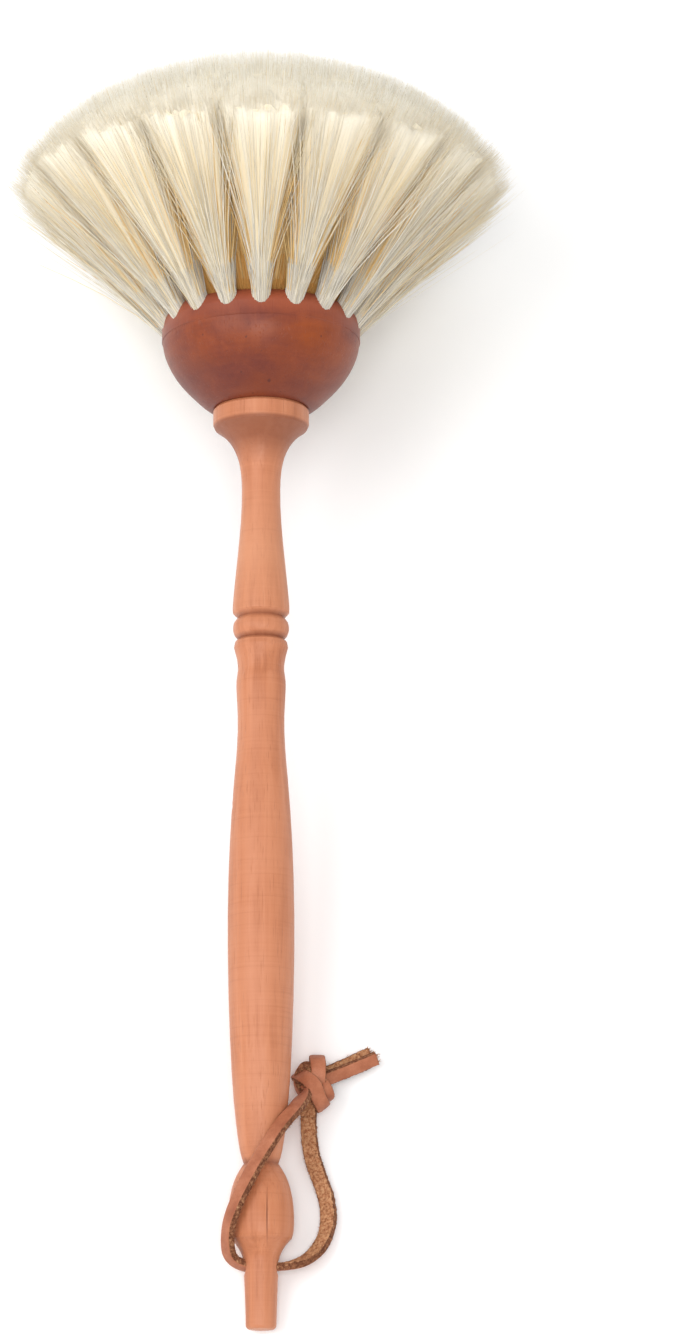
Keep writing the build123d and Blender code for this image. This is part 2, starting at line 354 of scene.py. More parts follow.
# ---- thong: one lace through the cross hole, its two sides knotted beside the handle ----
LACE_WIDTH = 4.1 * MM
LACE_THICKNESS = 2.0 * MM
LACE_CORNERS = 36
LACE_SQUARENESS = 0.34  # 1 is an ellipse, 0 a sharp rectangle
LACE_CROWN = 0.10  # how much the grain side is domed, as a share of half the thickness
HOLE_STATION = 15.9 * MM
THONG_FIBRES = (900, 1100)  # loose fibres on the left and right side
THONG_SEEDS = (11, 12)
# across, along from the tail end, height above the table, then which way the grain side faces
THONG_ROUTE = [
    (11.8, 62.4, 8.4, (-0.35, -0.55, 0.75)),
    (9.9, 56.6, 15.6, (-0.35, 0.0, 0.93)),
    (5.0, 49.6, 21.0, (-0.5, 0.25, 0.84)),
    (-1.4, 39.2, 20.6, (-0.55, 0.27, 0.8)),
    (-6.0, 30.4, 19.0, (-0.65, 0.2, 0.75)),
    (-9.0, 23.2, 14.8, (-0.85, -0.1, 0.5)),
    (-7.9, 15.66, 6.83, (-0.6, -0.75, 0.3)),
    (7.9, 15.66, 6.83, (0.15, -0.95, -0.35)),
    (14.0, 19.8, 4.0, (0.45, -0.55, -0.7)),
    (17.4, 26.4, 2.5, (0.5, -0.1, -0.85)),
    (17.6, 34.2, 2.2, (0.4, 0.1, -0.9)),
    (14.8, 42.0, 2.2, (0.3, 0.1, -0.95)),
    (12.5, 49.4, 2.4, (0.25, 0.05, -0.95)),
    (12.4, 57.0, 4.2, (0.2, 0.35, -0.85)),
]
GUIDE_REACH = 4 * MM  # from a lace's line to its guide line, on the grain side


def nurbs_points(points, resolution=24):
    """Points along the smooth NURBS line that has these points as its control points."""
    curve = bpy.data.curves.new("route", "CURVE")
    curve.dimensions = "3D"
    spline = curve.splines.new("NURBS")
    spline.points.add(len(points) - 1)
    for place, point in zip(spline.points, points):
        place.co = (*point, 1)
    spline.order_u = 3
    spline.use_endpoint_u = True
    spline.resolution_u = resolution
    holder = bpy.data.objects.new("route", curve)
    line = bpy.data.meshes.new_from_object(holder)
    found = np.array([vertex.co[:] for vertex in line.vertices])
    bpy.data.objects.remove(holder)
    bpy.data.curves.remove(curve)
    bpy.data.meshes.remove(line)
    return found


def smooth_noise(count, spacing, seed):
    """A smooth random row between -1 and 1, with a new value every few steps."""
    rng = np.random.default_rng(seed)
    knots = rng.uniform(-1, 1, count // spacing + 3)
    return np.interp(np.arange(count) / spacing, np.arange(len(knots)), knots)


def lace_frame(line, guide):
    """Unit vectors at each point of a lace's line: out of the grain side, and across the lace."""
    tangent = unit(np.gradient(line, axis=0))
    normal = guide - line
    normal = unit(normal - tangent * (normal * tangent).sum(1, keepdims=True))
    return normal, np.cross(tangent, normal)


def lace_mesh(name, line, guide, width, thickness, seed, rough=0.12 * MM):
    """A flat lace along a line, its grain side turned towards the guide line, in leather."""
    rng = np.random.default_rng(seed)
    normal, side = lace_frame(line, guide)
    corners = LACE_CORNERS
    angle = (np.arange(corners) + 0.5) * 2 * math.pi / corners
    across = np.sign(np.cos(angle)) * np.abs(np.cos(angle)) ** LACE_SQUARENESS
    up = np.sign(np.sin(angle)) * np.abs(np.sin(angle)) ** LACE_SQUARENESS
    crown = 1 + LACE_CROWN * (1 - across**2) * (up > 0)
    napped = (up < 0.75).astype(float)
    count = len(line)
    jitter = rng.normal(0, 1, (count, corners)) * rough * napped
    wide = np.reshape(width, (-1, 1)) / 2 * across[None, :] + jitter * np.sign(across) * 0.7
    wide *= (1 + 0.035 * smooth_noise(count, 9, seed + 1))[:, None]
    high = (thickness / 2 * up * crown)[None, :] + jitter * (up < -0.5)
    points = line[:, None, :] + side[:, None, :] * wide[..., None] + normal[:, None, :] * high[..., None]
    faces = tube_faces(count, corners)
    points = points.reshape(-1, 3)
    # the two halves of a ring face each other, so quads across it close the end
    cap = np.array([(k, k + 1, corners - 2 - k, corners - 1 - k) for k in range(corners // 2 - 1)])
    faces = np.vstack([faces, cap[:, ::-1], cap + (count - 1) * corners])
    obj = mesh_object(name, points, faces)
    slots = np.zeros(len(faces), dtype=np.int32)
    tube = (count - 1) * corners
    middle_up = (up + np.roll(up, -1)) / 2
    kinds = np.select([middle_up > 0.8, middle_up < -0.8], [GRAIN_SLOT, FLESH_SLOT], EDGE_WITH_SHADE_SLOT)
    slots[:tube] = np.tile(kinds, count - 1)
    slots[tube:] = EDGE_WITH_SHADE_SLOT
    dress(obj, slots)
    return obj


FIBRE_RADIUS = 0.035 * MM
FIBRE_TAPER = (1.0, 0.8, 0.15)
STRAND_SIDES = 3


def fibres(name, line, guide, width, thickness, count, seed):
    """Short loose fibres standing out of the flesh side and the cut edges of a lace."""
    rng = np.random.default_rng(seed)
    normal, side = lace_frame(line, guide)
    at = rng.integers(2, len(line) - 2, count)
    turn = rng.uniform(math.pi * 0.95, math.pi * 2.05, count)
    across, up = np.cos(turn), np.sin(turn)
    edge = np.maximum(np.abs(across), np.abs(up))
    start = line[at] + side[at] * (width / 2 * across / edge)[:, None] * 0.97
    start += normal[at] * (thickness / 2 * up / edge)[:, None] * 0.9
    out = unit(side[at] * across[:, None] + normal[at] * up[:, None] + rng.normal(0, 0.55, (count, 3)))
    length = rng.uniform(0.25, 0.75, count) * MM
    bend = unit(rng.normal(0, 1, (count, 3)))
    middle = start + out * (length * 0.5)[:, None]
    tip = start + out * (length * 0.9)[:, None] + bend * (length * 0.3)[:, None]
    lines = np.stack([start, middle, tip], axis=1)
    return strand_mesh(name, lines, np.full(count, FIBRE_RADIUS), FIBRE_TAPER, rng)


def strand_mesh(name, lines, radius, taper, rng):
    """Thin three-sided tapered strands along lines of points, shape (strands, points, 3)."""
    strands, rings, _ = lines.shape
    tangent = unit(np.gradient(lines, axis=1))
    helper = unit(rng.normal(0, 1, (strands, 1, 3)))
    first = unit(np.cross(tangent, helper))
    second = np.cross(tangent, first)
    angle = np.arange(STRAND_SIDES) * 2 * math.pi / STRAND_SIDES
    thick = radius[:, None] * np.asarray(taper)[None, :]
    offset = first[:, :, None, :] * np.cos(angle)[None, None, :, None]
    offset = offset + second[:, :, None, :] * np.sin(angle)[None, None, :, None]
    points = lines[:, :, None, :] + offset * thick[:, :, None, None]
    one = tube_faces(rings, STRAND_SIDES)
    start = (np.arange(strands) * rings * STRAND_SIDES)[:, None, None]
    faces = (one[None, :, :] + start).reshape(-1, 4)
    return mesh_object(name, points.reshape(-1, 3), faces)


def join(name, objects):
    """Joins mesh objects into the first one."""
    bpy.ops.object.select_all(action="DESELECT")
    for obj in objects:
        obj.select_set(True)
    bpy.context.view_layer.objects.active = objects[0]
    bpy.ops.object.join()
    objects[0].name = name
    objects[0].data.name = name
    return objects[0]


GRAIN_SLOT, FLESH_SLOT, EDGE_WITH_SHADE_SLOT = 0, 1, 2


def dress(obj, slots):
    """Leather on an object, with the grain side, flesh side or cut edge on each face; the cut edge carries
    painted shade.
    """
    paint(obj, GRAIN, FLESH, EDGE_WITH_SHADE)
    slots = np.broadcast_to(np.asarray(slots, dtype=np.int32), len(obj.data.polygons))
    obj.data.polygons.foreach_set("material_index", np.ascontiguousarray(slots))


def leather_grain():
    """The smooth side of the leather, with fine creases."""
    s = Shader("leather_grain")
    place = s.place()
    tone = s.noise(place, 220, detail=4, roughness=0.6)
    crease = s.noise(place, 2600, detail=3, roughness=0.6, distortion=1.0)
    stops = [(0.3, (0.32, 0.10, 0.048)), (0.5, (0.41, 0.142, 0.07)), (0.72, (0.50, 0.19, 0.102))]
    colour = s.ramp(tone, stops)
    colour = s.mix(s.between(crease, 0.35, 0.65, 0.22, 0), colour, (0.20, 0.055, 0.03))
    s.link(colour, s.surface.inputs["Base Color"])
    s.link(s.between(crease, 0.3, 0.7, 0.6, 0.48), s.surface.inputs["Roughness"])
    s.surface.inputs["Specular IOR Level"].default_value = 0.25
    s.bump(crease, 0.25, 0.0001)
    return s.material


def rough_leather(name, stops, tint, scale):
    """Napped or cut leather: light fibres over dark pits."""
    s = Shader(name)
    place = s.place()
    nap = s.noise(place, scale, detail=4, roughness=0.7)
    tone = s.noise(place, 300, detail=3, roughness=0.6)
    colour = s.ramp(nap, stops)
    colour = s.mix(s.between(tone, 0.4, 0.7, 0, 0.3), colour, tint)
    s.link(colour, s.surface.inputs["Base Color"])
    s.link(s.between(nap, 0.3, 0.7, 0.95, 0.75), s.surface.inputs["Roughness"])
    s.surface.inputs["Specular IOR Level"].default_value = 0.2
    s.bump(nap, 0.8, 0.0004)
    return s.material


GRAIN = leather_grain()
FLESH = rough_leather(
    "leather_flesh",
    [(0.36, (0.24, 0.09, 0.04)), (0.48, (0.45, 0.20, 0.095)), (0.62, (0.64, 0.36, 0.19))],
    (0.52, 0.25, 0.12),
    1350,
)
# the cut edges on the lace's sides: napped like the flesh side, with its colours made darker as painted
# shade for the sides, which get less light
EDGE_WITH_SHADE = rough_leather(
    "leather_edge_with_shade",
    [(0.42, (0.13, 0.045, 0.022)), (0.55, (0.27, 0.105, 0.05)), (0.68, (0.55, 0.30, 0.15))],
    (0.20, 0.07, 0.035),
    1200,
)


def route_point(across, along, height):
    """A place given in millimetres: across, along from the tail end, above the table."""
    return Vector((across * MM, TAIL.y + along * MM, height * MM))


route = [route_point(*entry[:3]) for entry in THONG_ROUTE]
guides = [place + Vector(entry[3]).normalized() * GUIDE_REACH for place, entry in zip(route, THONG_ROUTE)]
thong_line = nurbs_points(route)
thong_guide = nurbs_points(guides)
hole_place = on_brush(HOLE_STATION, 0, 0)
# the point of the line in the middle of the cross hole
in_hole = int(np.argmin(np.abs(thong_line[:, 0]) + (thong_line[:, 1] > hole_place.y + 8 * MM)))


def lace(name, line, guide, fibre_count, seed, width=LACE_WIDTH, thickness=LACE_THICKNESS):
    """A lace with its loose fibres, in leather."""
    strap = lace_mesh(name, line, guide, width, thickness, seed)
    fuzz = fibres(name + "_fuzz", line, guide, width, thickness, fibre_count, seed + 7)
    dress(fuzz, FLESH_SLOT)
    return join(name, [strap, fuzz])


left_line, right_line = thong_line[: in_hole + 1], thong_line[in_hole:]
thong_left = lace(
    "thong_left", left_line, thong_guide[: in_hole + 1], THONG_FIBRES[0], THONG_SEEDS[0]
)
thong_right = lace("thong_right", right_line, thong_guide[in_hole:], THONG_FIBRES[1], THONG_SEEDS[1])


# ---- knot: bands of the lace wrapped about each other, around a filled core ----
KNOT_CENTRE = (13.4, 65.2, 5.2)
KNOT_CORE = (3.9, 5.6, 3.9)  # half sizes of the ball between the bands
KNOT_ROUGHNESS = 0.06 * MM
KNOT_SEED, END_SEED, FRAY_SEED = 40, 60, 70
END_FIBRES = 160
FRAY_FIBRES = (14, 46)  # on the upper and the lower end
# name: lace thickness, the way its bands' grain side faces, points (across, along, height);
# a way of "wrap" faces out from the core about the given axis, otherwise it is a direction
KNOT_BANDS = {
    "front": (1.7, ("wrap", (0.81, 0.59, 0)), [
        (9.7, 68.0, 6.0), (11.0, 66.5, 8.8), (12.5, 65.1, 9.9), (13.8, 63.5, 10.2),
        (14.7, 61.0, 9.8), (15.8, 59.4, 8.0), (16.1, 59.6, 5.2), (15.4, 61.9, 2.2),
        (12.9, 66.0, 1.5), (10.5, 68.7, 2.4),
    ]),
    "beside": (1.7, ("wrap", (0.81, 0.59, 0)), [
        (14.4, 67.1, 6.4), (15.4, 65.2, 7.8), (16.5, 63.2, 8.4), (17.2, 61.7, 7.4),
        (17.1, 61.5, 5.0), (15.8, 63.4, 2.4),
    ]),
    "over": (1.7, ("wrap", (1, 0, 0)), [
        (14.8, 64.4, 7.8), (15.0, 66.5, 8.9), (15.0, 68.9, 9.2), (14.8, 71.1, 8.2),
        (14.7, 72.8, 5.4), (14.7, 72.6, 2.6), (15.0, 69.8, 1.4),
    ]),
    "edge": (2.1, ("wrap", (0, 0, 1)), [
        (13.6, 69.9, 6.2), (11.5, 70.0, 6.4), (10.4, 68.7, 6.4), (9.7, 67.1, 6.2),
        (9.7, 65.3, 6.0), (10.7, 63.4, 5.8), (12.3, 62.2, 5.4),
    ]),
    "entry_left": (2.0, ("face", (-0.35, -0.55, 0.75)), [
        (11.7, 62.3, 8.5), (12.7, 64.0, 8.0), (13.4, 66.0, 7.2),
    ]),
    "entry_right": (2.0, ("face", (0.2, 0.35, -0.85)), [
        (12.4, 57.0, 4.2), (12.6, 60.0, 4.9), (13.1, 63.0, 5.4),
    ]),
}
# name: lace thickness, the way its grain side faces, lace width, points
LACE_ENDS = {
    "lace_end_upper": (2.0, ("face", (0.28, -0.6, 0.74)), 3.5, [
        (13.9, 65.7, 5.4), (17.1, 67.3, 5.0), (20.7, 69.0, 4.2), (25.5, 71.3, 3.5), (30.4, 73.6, 3.3),
    ]),
    "lace_end_lower": (1.7, ("face", (0, 0.25, -1)), 3.4, [
        (14.4, 68.0, 3.6), (17.6, 69.7, 2.6), (21.3, 71.7, 1.7), (25.3, 73.8, 1.3), (28.8, 75.4, 1.3),
    ]),
}


def smooth_through(points, per_span=10):
    """A smooth line that passes through every point."""
    points = np.asarray(points, dtype=float)
    padded = np.vstack([2 * points[0] - points[1], points, 2 * points[-1] - points[-2]])
    rows = []
    for k in range(len(points) - 1):
        before, here, there, after = padded[k : k + 4]
        t = (np.arange(per_span) / per_span)[:, None]
        rows.append(
            0.5 * (2 * here + (there - before) * t + (2 * before - 5 * here + 4 * there - after) * t**2)
            + 0.5 * (3 * here - before - 3 * there + after) * t**3
        )
    return np.vstack(rows + [points[-1:]])


def knot_line(points, way):
    """A band's line and its guide line, in metres."""
    line = smooth_through([route_point(*point) for point in points])
    kind, direction = way
    direction = unit(np.array(direction, dtype=float))
    if kind == "face":
        return line, line + direction * GUIDE_REACH
    out = line - np.array(route_point(*KNOT_CENTRE))
    out -= (out @ direction)[:, None] * direction
    return line, line + unit(out) * GUIDE_REACH


def knot_core():
    """What shows between the bands, deep inside the knot."""
    rings, corners = 16, 28
    polar = np.linspace(0.05, math.pi - 0.05, rings)[:, None]
    turn = (np.arange(corners) * 2 * math.pi / corners)[None, :]
    size = np.array(KNOT_CORE) * MM
    ball = np.stack(
        [np.sin(polar) * np.cos(turn), np.cos(polar) * np.ones_like(turn), -np.sin(polar) * np.sin(turn)],
        axis=-1,
    )
    points = (ball * size + np.array(route_point(*KNOT_CENTRE))).reshape(-1, 3)
    return mesh_object("lace_knot", points, tube_faces(rings, corners))


def frayed_end(name, line, guide, width, thickness, count, seed):
    """Short coarse fibres left where a lace was cut."""
    rng = np.random.default_rng(seed)
    ahead = unit(line[-1] - line[-3])
    up = unit(guide[-1] - line[-1])
    side = np.cross(ahead, up)
    start = line[-1] - ahead * 0.5 * MM + side * (rng.uniform(-0.48, 0.48, (count, 1)) * width)
    start = start + up * (rng.uniform(-0.45, 0.45, (count, 1)) * thickness)
    out = unit(ahead + rng.normal(0, 0.35, (count, 3)))
    reach = rng.uniform(0.6, 1.7, (count, 1)) * MM
    curl = unit(rng.normal(0, 1, (count, 3))) * reach * 0.3
    lines = np.stack([start, start + out * reach * 0.5, start + out * reach + curl], axis=1)
    return strand_mesh(name, lines, rng.uniform(0.06, 0.16, count) * MM, (1.0, 0.75, 0.2), rng)


def add_knot():
    """The knot and the lace's two free ends; returns their pieces."""
    core = knot_core()
    dress(core, FLESH_SLOT)
    parts = [core]
    for number, (name, (thickness, way, points)) in enumerate(KNOT_BANDS.items()):
        line, guide = knot_line(points, way)
        seed = KNOT_SEED + number
        parts.append(
            lace_mesh("knot_" + name, line, guide, LACE_WIDTH, thickness * MM, seed, KNOT_ROUGHNESS)
        )
    knot = join("lace_knot", parts)
    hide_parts("thong_knot")
    made = [knot]
    for number, (name, (thickness, way, width, points)) in enumerate(LACE_ENDS.items()):
        line, guide = knot_line(points, way)
        size = (width * MM, thickness * MM)
        end = lace(name, line, guide, END_FIBRES, END_SEED + number, *size)
        fray = frayed_end(name + "_fray", line, guide, *size, FRAY_FIBRES[number], FRAY_SEED + number)
        dress(fray, FLESH_SLOT)
        end = join(name, [end, fray])
        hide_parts(name.replace("lace", "thong"))
        made.append(end)
    for piece in made:
        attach(piece, "root")
    return made


knot_pieces = add_knot()


# ---- hair: 37 tufts, each a solid core under many thin strands ----
HAIR_RINGS = [
    # name, tufts, mouth radius, mouth station, lean, inner and outer polar angle of the cell;
    # the polar angles are about the dome's centre, from the brush's axis
    ("outer", 18, 24.96, 269.54, 40.0, 30.5, 49.4),
    ("middle", 12, 16.5, 273.7, 23.0, 17.5, 36.5),
    ("inner", 6, 8.3, 274.9, 12.0, 5.0, 22.5),
    ("centre", 1, 0.0, 275.5, 0.0, 0.0, 10.0),
]
STRANDS = {"outer": 1450, "middle": 750, "inner": 560, "centre": 560}
ROOT_RADIUS = 2.36 * MM
ROOT_INSIDE = 2.0 * MM  # how far below the hole's mouth a strand starts
STRAND_STEPS = np.array([0.0, 0.1, 0.25, 0.45, 0.65, 0.85, 1.0])
STRAND_TAPER = (1.0, 1.0, 1.0, 0.95, 0.85, 0.65, 0.22)
STRAND_RADII = (0.06 * MM, 0.12 * MM)
LOOSE_SHARE = 0.4  # strands whose ends spread well into the neighbouring tufts
STRAY_SHARE = 0.012  # thin strands that bow out of their tuft
STRAY_RADIUS = 0.05 * MM
DARK_SHARE = 0.006
STRAND_SQUARENESS = 0.8  # how far a round bundle of hair spreads into its cell's corners
FLATTEN = 2.2 * MM  # how softly hair that reaches the table lies down on it
axis_dir, face_up = np.array(AXIS_DIR), np.array(FACE_UP)
right = np.array((1.0, 0.0, 0.0))
tail_point, dome_centre = np.array(TAIL), np.array(DOME_CENTRE)


def lie_down(points):
    """Hair that would pass through the table lies down on it instead."""
    height = points[..., 2]
    points[..., 2] = np.where(
        height > 8 * FLATTEN, height, FLATTEN * np.log1p(np.exp(np.clip(height / FLATTEN, -40, 9)))
    )
    return points


class Tuft:
    """Where one tuft's hair runs, from its hole to its cell of the dome."""

    def __init__(self, ring, index):
        name, count, mouth, station, lean, inner, outer = ring
        self.ring = name
        self.name = "tuft_centre" if count == 1 else f"tuft_{name}_{index + 1:02d}"
        self.turn = index * 2 * math.pi / count
        self.half_turn = math.pi / count
        self.inner, self.outer = math.radians(inner), math.radians(outer)
        lean = math.radians(lean)
        outward = face_up * math.cos(self.turn) + right * math.sin(self.turn)
        self.direction = axis_dir * math.cos(lean) + outward * math.sin(lean)
        self.across = outward * math.cos(lean) - axis_dir * math.sin(lean)
        self.around = right * math.cos(self.turn) - face_up * math.sin(self.turn)
        self.mouth = tail_point + axis_dir * station * MM + outward * mouth * MM
        self.seed = sum(map(ord, name)) * 100 + index

    def roots(self, disk):
        """Places at the hole's mouth for points of the unit disk."""
        offset = self.around * disk[:, :1] + self.across * disk[:, 1:]
        return self.mouth + offset * ROOT_RADIUS - self.direction * ROOT_INSIDE

    def tips(self, disk, depth, squareness=STRAND_SQUARENESS):
        """Places on the dome, depth below its surface, for points of the unit disk."""
        size = np.hypot(disk[:, 0], disk[:, 1])
        if self.ring == "centre":
            turn = np.arctan2(disk[:, 0], disk[:, 1])
            polar = self.outer * size
        else:
            square = size / np.maximum(np.maximum(np.abs(disk[:, 0]), np.abs(disk[:, 1])), 1e-6)
            square = 1 + (square - 1) * squareness
            turn = self.turn + disk[:, 0] * square * self.half_turn
            polar = (self.inner + self.outer) / 2 + disk[:, 1] * square * (self.outer - self.inner) / 2
        ring_way = face_up * np.cos(turn)[:, None] + right * np.sin(turn)[:, None]
        normal = axis_dir * np.cos(polar)[:, None] + ring_way * np.sin(polar)[:, None]
        return dome_centre + normal * (DOME_RADIUS - depth)[:, None]

    def lines(self, disk, tip_disk, depth, steps, squareness=STRAND_SQUARENESS):
        """Lines of hair from root to tip, shape (strands, steps, 3)."""
        tip = self.tips(tip_disk, depth, squareness)
        return hair_lines(self.roots(disk), self.direction, tip, steps)

    def rim(self, tip_disk):
        """How near the fan's outer rim each tip is, from 0 to about 1."""
        if self.ring != "outer":
            return np.zeros(len(tip_disk))
        return np.clip((tip_disk[:, 1] - 0.1) / 0.9, 0, 1.3)


def hair_lines(root, direction, tip, steps):
    """Hair that leaves its root in a direction and bends towards its tip."""
    span = np.linalg.norm(tip - root, axis=1)[:, None]
    leave = root + direction * span * 0.26
    arrive = tip - unit(unit(tip - root) * 1.6 - direction * 0.35) * span * 0.30
    t = steps[None, :, None]
    return (
        (1 - t) ** 3 * root[:, None]
        + 3 * (1 - t) ** 2 * t * leave[:, None]
        + 3 * (1 - t) * t**2 * arrive[:, None]
        + t**3 * tip[:, None]
    )


def disk_points(count, rng, edge):
    """Random points of the unit disk, with more of them near its edge as edge grows."""
    radius = rng.uniform(0, 1, count) ** (0.5 / edge)
    turn = rng.uniform(0, 2 * math.pi, count)
    return np.stack([radius * np.cos(turn), radius * np.sin(turn)], axis=1)


CORE_STEPS = np.array([0.0, 0.05, 0.12, 0.2, 0.3, 0.4, 0.5, 0.6, 0.7, 0.8, 0.88, 0.94, 1.0])
CORE_CORNERS = 72
CORE_SHELLS = (0.93, 0.82, 0.6, 0.3)
CORE_FILL = (1.25, 1.0)  # how much of its cell a core takes at the dome, around and outwards
CORE_SQUARENESS = 0.68
CORE_DEPTH = 3.9 * MM  # how far a core's end lies below the dome
CORE_INSET = 2.8 * MM  # how much deeper it is at the fan's rim
STRAND_FILL = (1.18, 1.05)


def core_of(tuft):
    """The tuft's solid body, ridged lengthwise like combed hair, with a rough end."""
    rng = np.random.default_rng(tuft.seed)
    turn = np.arange(CORE_CORNERS) * 2 * math.pi / CORE_CORNERS
    rim = np.stack([np.cos(turn), np.sin(turn)], axis=1)
    ridges = rng.normal(0, 1, CORE_CORNERS)
    ridges = 0.5 * ridges + 0.35 * np.roll(ridges, 1) + 0.35 * np.roll(ridges, -1)
    size = 0.945 + 0.022 * ridges
    inset = CORE_INSET * tuft.rim(rim) ** 2
    depth = rng.uniform(3.2, 4.6, CORE_CORNERS) * MM + inset
    wide = rim * size[:, None] * CORE_FILL
    sides = tuft.lines(rim * size[:, None], wide, depth, CORE_STEPS, CORE_SQUARENESS)
    rows = [sides[:, k] for k in range(len(CORE_STEPS))]
    for shell in CORE_SHELLS:
        depth = CORE_DEPTH + rng.uniform(-0.6, 0.6, CORE_CORNERS) * shell * MM + inset * shell**2
        rows.append(tuft.tips(rim * shell, depth, CORE_SQUARENESS))
    rows.append(tuft.tips(rim * 0.02, np.full(CORE_CORNERS, CORE_DEPTH)))
    points = lie_down(np.stack(rows).reshape(-1, 3))
    core = mesh_object(tuft.name + "_core", points, tube_faces(len(rows), CORE_CORNERS))
    end_rows = np.ones(len(rows) - len(CORE_STEPS))
    circle = np.tile(turn, len(rows))
    write_attribute(core, "along", np.repeat(np.append(CORE_STEPS, end_rows), CORE_CORNERS))
    write_attribute(core, "side_x", np.cos(circle))
    write_attribute(core, "side_y", np.sin(circle))
    return core


def write_attribute(obj, name, values):
    """A number at every vertex, for the material to read."""
    made = obj.data.attributes.new(name, "FLOAT", "POINT")
    made.data.foreach_set("value", np.asarray(values, dtype=np.float32))


# hair tints, one plain material each; a strand takes one tint, or several along its length; straw and
# amber are painted glow of light passing through the hair, grey is partly the hair's own grey and partly
# painted shade at the tufts' bases, and tip is a painted highlight
TINTS = {
    "hair_white": (0.83, 0.785, 0.68),
    "hair_ivory": (0.82, 0.75, 0.61),
    "hair_cream": (0.83, 0.70, 0.46),
    # the hair's own grey, and painted shade at the tufts' bases
    "hair_grey_and_shade": (0.66, 0.615, 0.535),
    # straw and amber: painted glow of light passing through the hair
    "hair_straw_glow": (0.84, 0.58, 0.25),
    "hair_amber_glow": (0.77, 0.42, 0.125),
    "hair_dark": (0.10, 0.07, 0.045),
    # painted highlight for the whitest ends
    "hair_tip": (0.96, 0.93, 0.84),
}
TINT_ORDER = list(TINTS)
STRAW_GLOW, AMBER_GLOW, CREAM = (TINT_ORDER.index("hair_" + tint) for tint in ("straw_glow", "amber_glow", "cream"))
GREY_AND_SHADE, DARK, TIP_HIGHLIGHT = (TINT_ORDER.index("hair_" + tint) for tint in ("grey_and_shade", "dark", "tip"))
WHITE, IVORY = 0, 1


def tint_material(name):
    """Hair of one tint."""
    s = Shader(name)
    s.surface.inputs["Base Color"].default_value = (*TINTS[name], 1)
    s.surface.inputs["Roughness"].default_value = 0.6
    s.surface.inputs["Specular IOR Level"].default_value = 0.2
    return s.material


TINT_MATERIALS = [tint_material(name) for name in TINT_ORDER]


def core_material(name, root, low, high):
    """Packed hair: fine streaks that run from root to tip, with painted light towards the root: glow in
    the middle rings' amber, shade in the outer ring's grey.
    """
    s = Shader(name)
    values = {}
    for attribute in ("along", "side_x", "side_y"):
        values[attribute] = s.node("ShaderNodeAttribute", attribute_name=attribute).outputs["Fac"]
    across = s.node("ShaderNodeCombineXYZ")
    s.feed(across.inputs["X"], values["side_x"])
    s.feed(across.inputs["Y"], values["side_y"])
    s.feed(across.inputs["Z"], s.maths("MULTIPLY", values["along"], 0.10))
    streak = s.noise(across.outputs["Vector"], 26, detail=3, roughness=0.6)
    # the cut ends are speckled instead of streaked
    speckle = s.noise(s.place(), 1100, detail=3, roughness=0.7)
    streak = s.mix(s.between(values["along"], 0.9, 0.99), streak, speckle)
    # painted light along the hair: the root and low colours stand for glow through the hair or shade at
    # its base
    colour = s.ramp(values["along"], [(0.05, root), (0.4, low), (0.72, low), (0.97, high)])
    colour = s.mix(s.between(streak, 0.38, 0.62, 0.25, 0), colour, (0.78, 0.66, 0.45))
    s.link(colour, s.surface.inputs["Base Color"])
    s.surface.inputs["Roughness"].default_value = 0.7
    s.bump(streak, 0.4, 0.0003)
    return s.material


# painted light: the outer core's grey root is painted shade at the tufts' bases and its straw middle
# painted glow; the middle core's amber root and straw middle are painted glow of light through the hair
CORE_MATERIALS = {
    "outer": core_material(
        "hair_core_outer", (0.66, 0.60, 0.47), (0.84, 0.72, 0.50), (0.90, 0.84, 0.70)
    ),
    "middle": core_material(
        "hair_core_middle", (0.77, 0.42, 0.13), (0.84, 0.58, 0.25), (0.94, 0.87, 0.70)
    ),
}
CORE_MATERIALS["inner"] = CORE_MATERIALS["centre"] = CORE_MATERIALS["middle"]


def tinted_strands(name, lines, radius, slots, rng):
    """Strands of hair, with a tint's slot for every length of each."""
    obj = strand_mesh(name, lines, radius, STRAND_TAPER, rng)
    paint(obj, *TINT_MATERIALS)
    sides = len(obj.data.polygons) // slots.size
    obj.data.polygons.foreach_set("material_index", np.repeat(slots.ravel(), sides).astype(np.int32))
    return obj


def strand_slots(tuft, disk, rim, count, rng):
    """Which tint each length of each strand takes, and which strands are dark ones."""
    segments = len(STRAND_STEPS) - 1
    pick = rng.choice((WHITE, IVORY, CREAM, GREY_AND_SHADE), count, p=(0.38, 0.38, 0.19, 0.05))
    slots = np.repeat(pick[:, None], segments, axis=1)
    reach = rng.normal(0, 0.5, count)[:, None] + np.arange(segments)[None, :]
    if tuft.ring == "outer":
        # painted light: hair at a tuft's sides is painted yellower half way up as glow through the gaps,
        # more so on tufts that face up, and the base is painted greyer as shade
        share = 0.25 + 0.55 * max(math.cos(tuft.turn), 0)
        beside = (np.abs(disk[:, 0]) > 0.5)[:, None] & (rng.uniform(0, 1, (count, 1)) < share)
        slots = np.where(beside & (reach > 0.9) & (reach < 4.7), CREAM, slots)
        slots = np.where(beside & (reach > 1.3) & (reach < 3.6), STRAW_GLOW, slots)
        base_shade = rng.uniform(0, 1, (count, 1)) < 0.6
        slots = np.where(base_shade & (reach < 1.3), GREY_AND_SHADE, slots)
    else:
        # painted glow: the middle and inner rings are straw and amber towards the root
        slots = np.where(reach < 3.2, STRAW_GLOW, slots)
        slots = np.where(reach < 1.4, AMBER_GLOW, slots)
    slots = np.where(reach > 4.4, np.minimum(slots, IVORY), slots)
    # painted highlight: only the ends that face out of the dome are painted at their whitest
    slots = np.where((reach > 4.6) & (rim < 0.45)[:, None], TIP_HIGHLIGHT, slots)
    dark = rng.uniform(0, 1, (count, 1)) < DARK_SHARE
    return np.where(dark, DARK, slots), dark[:, 0]


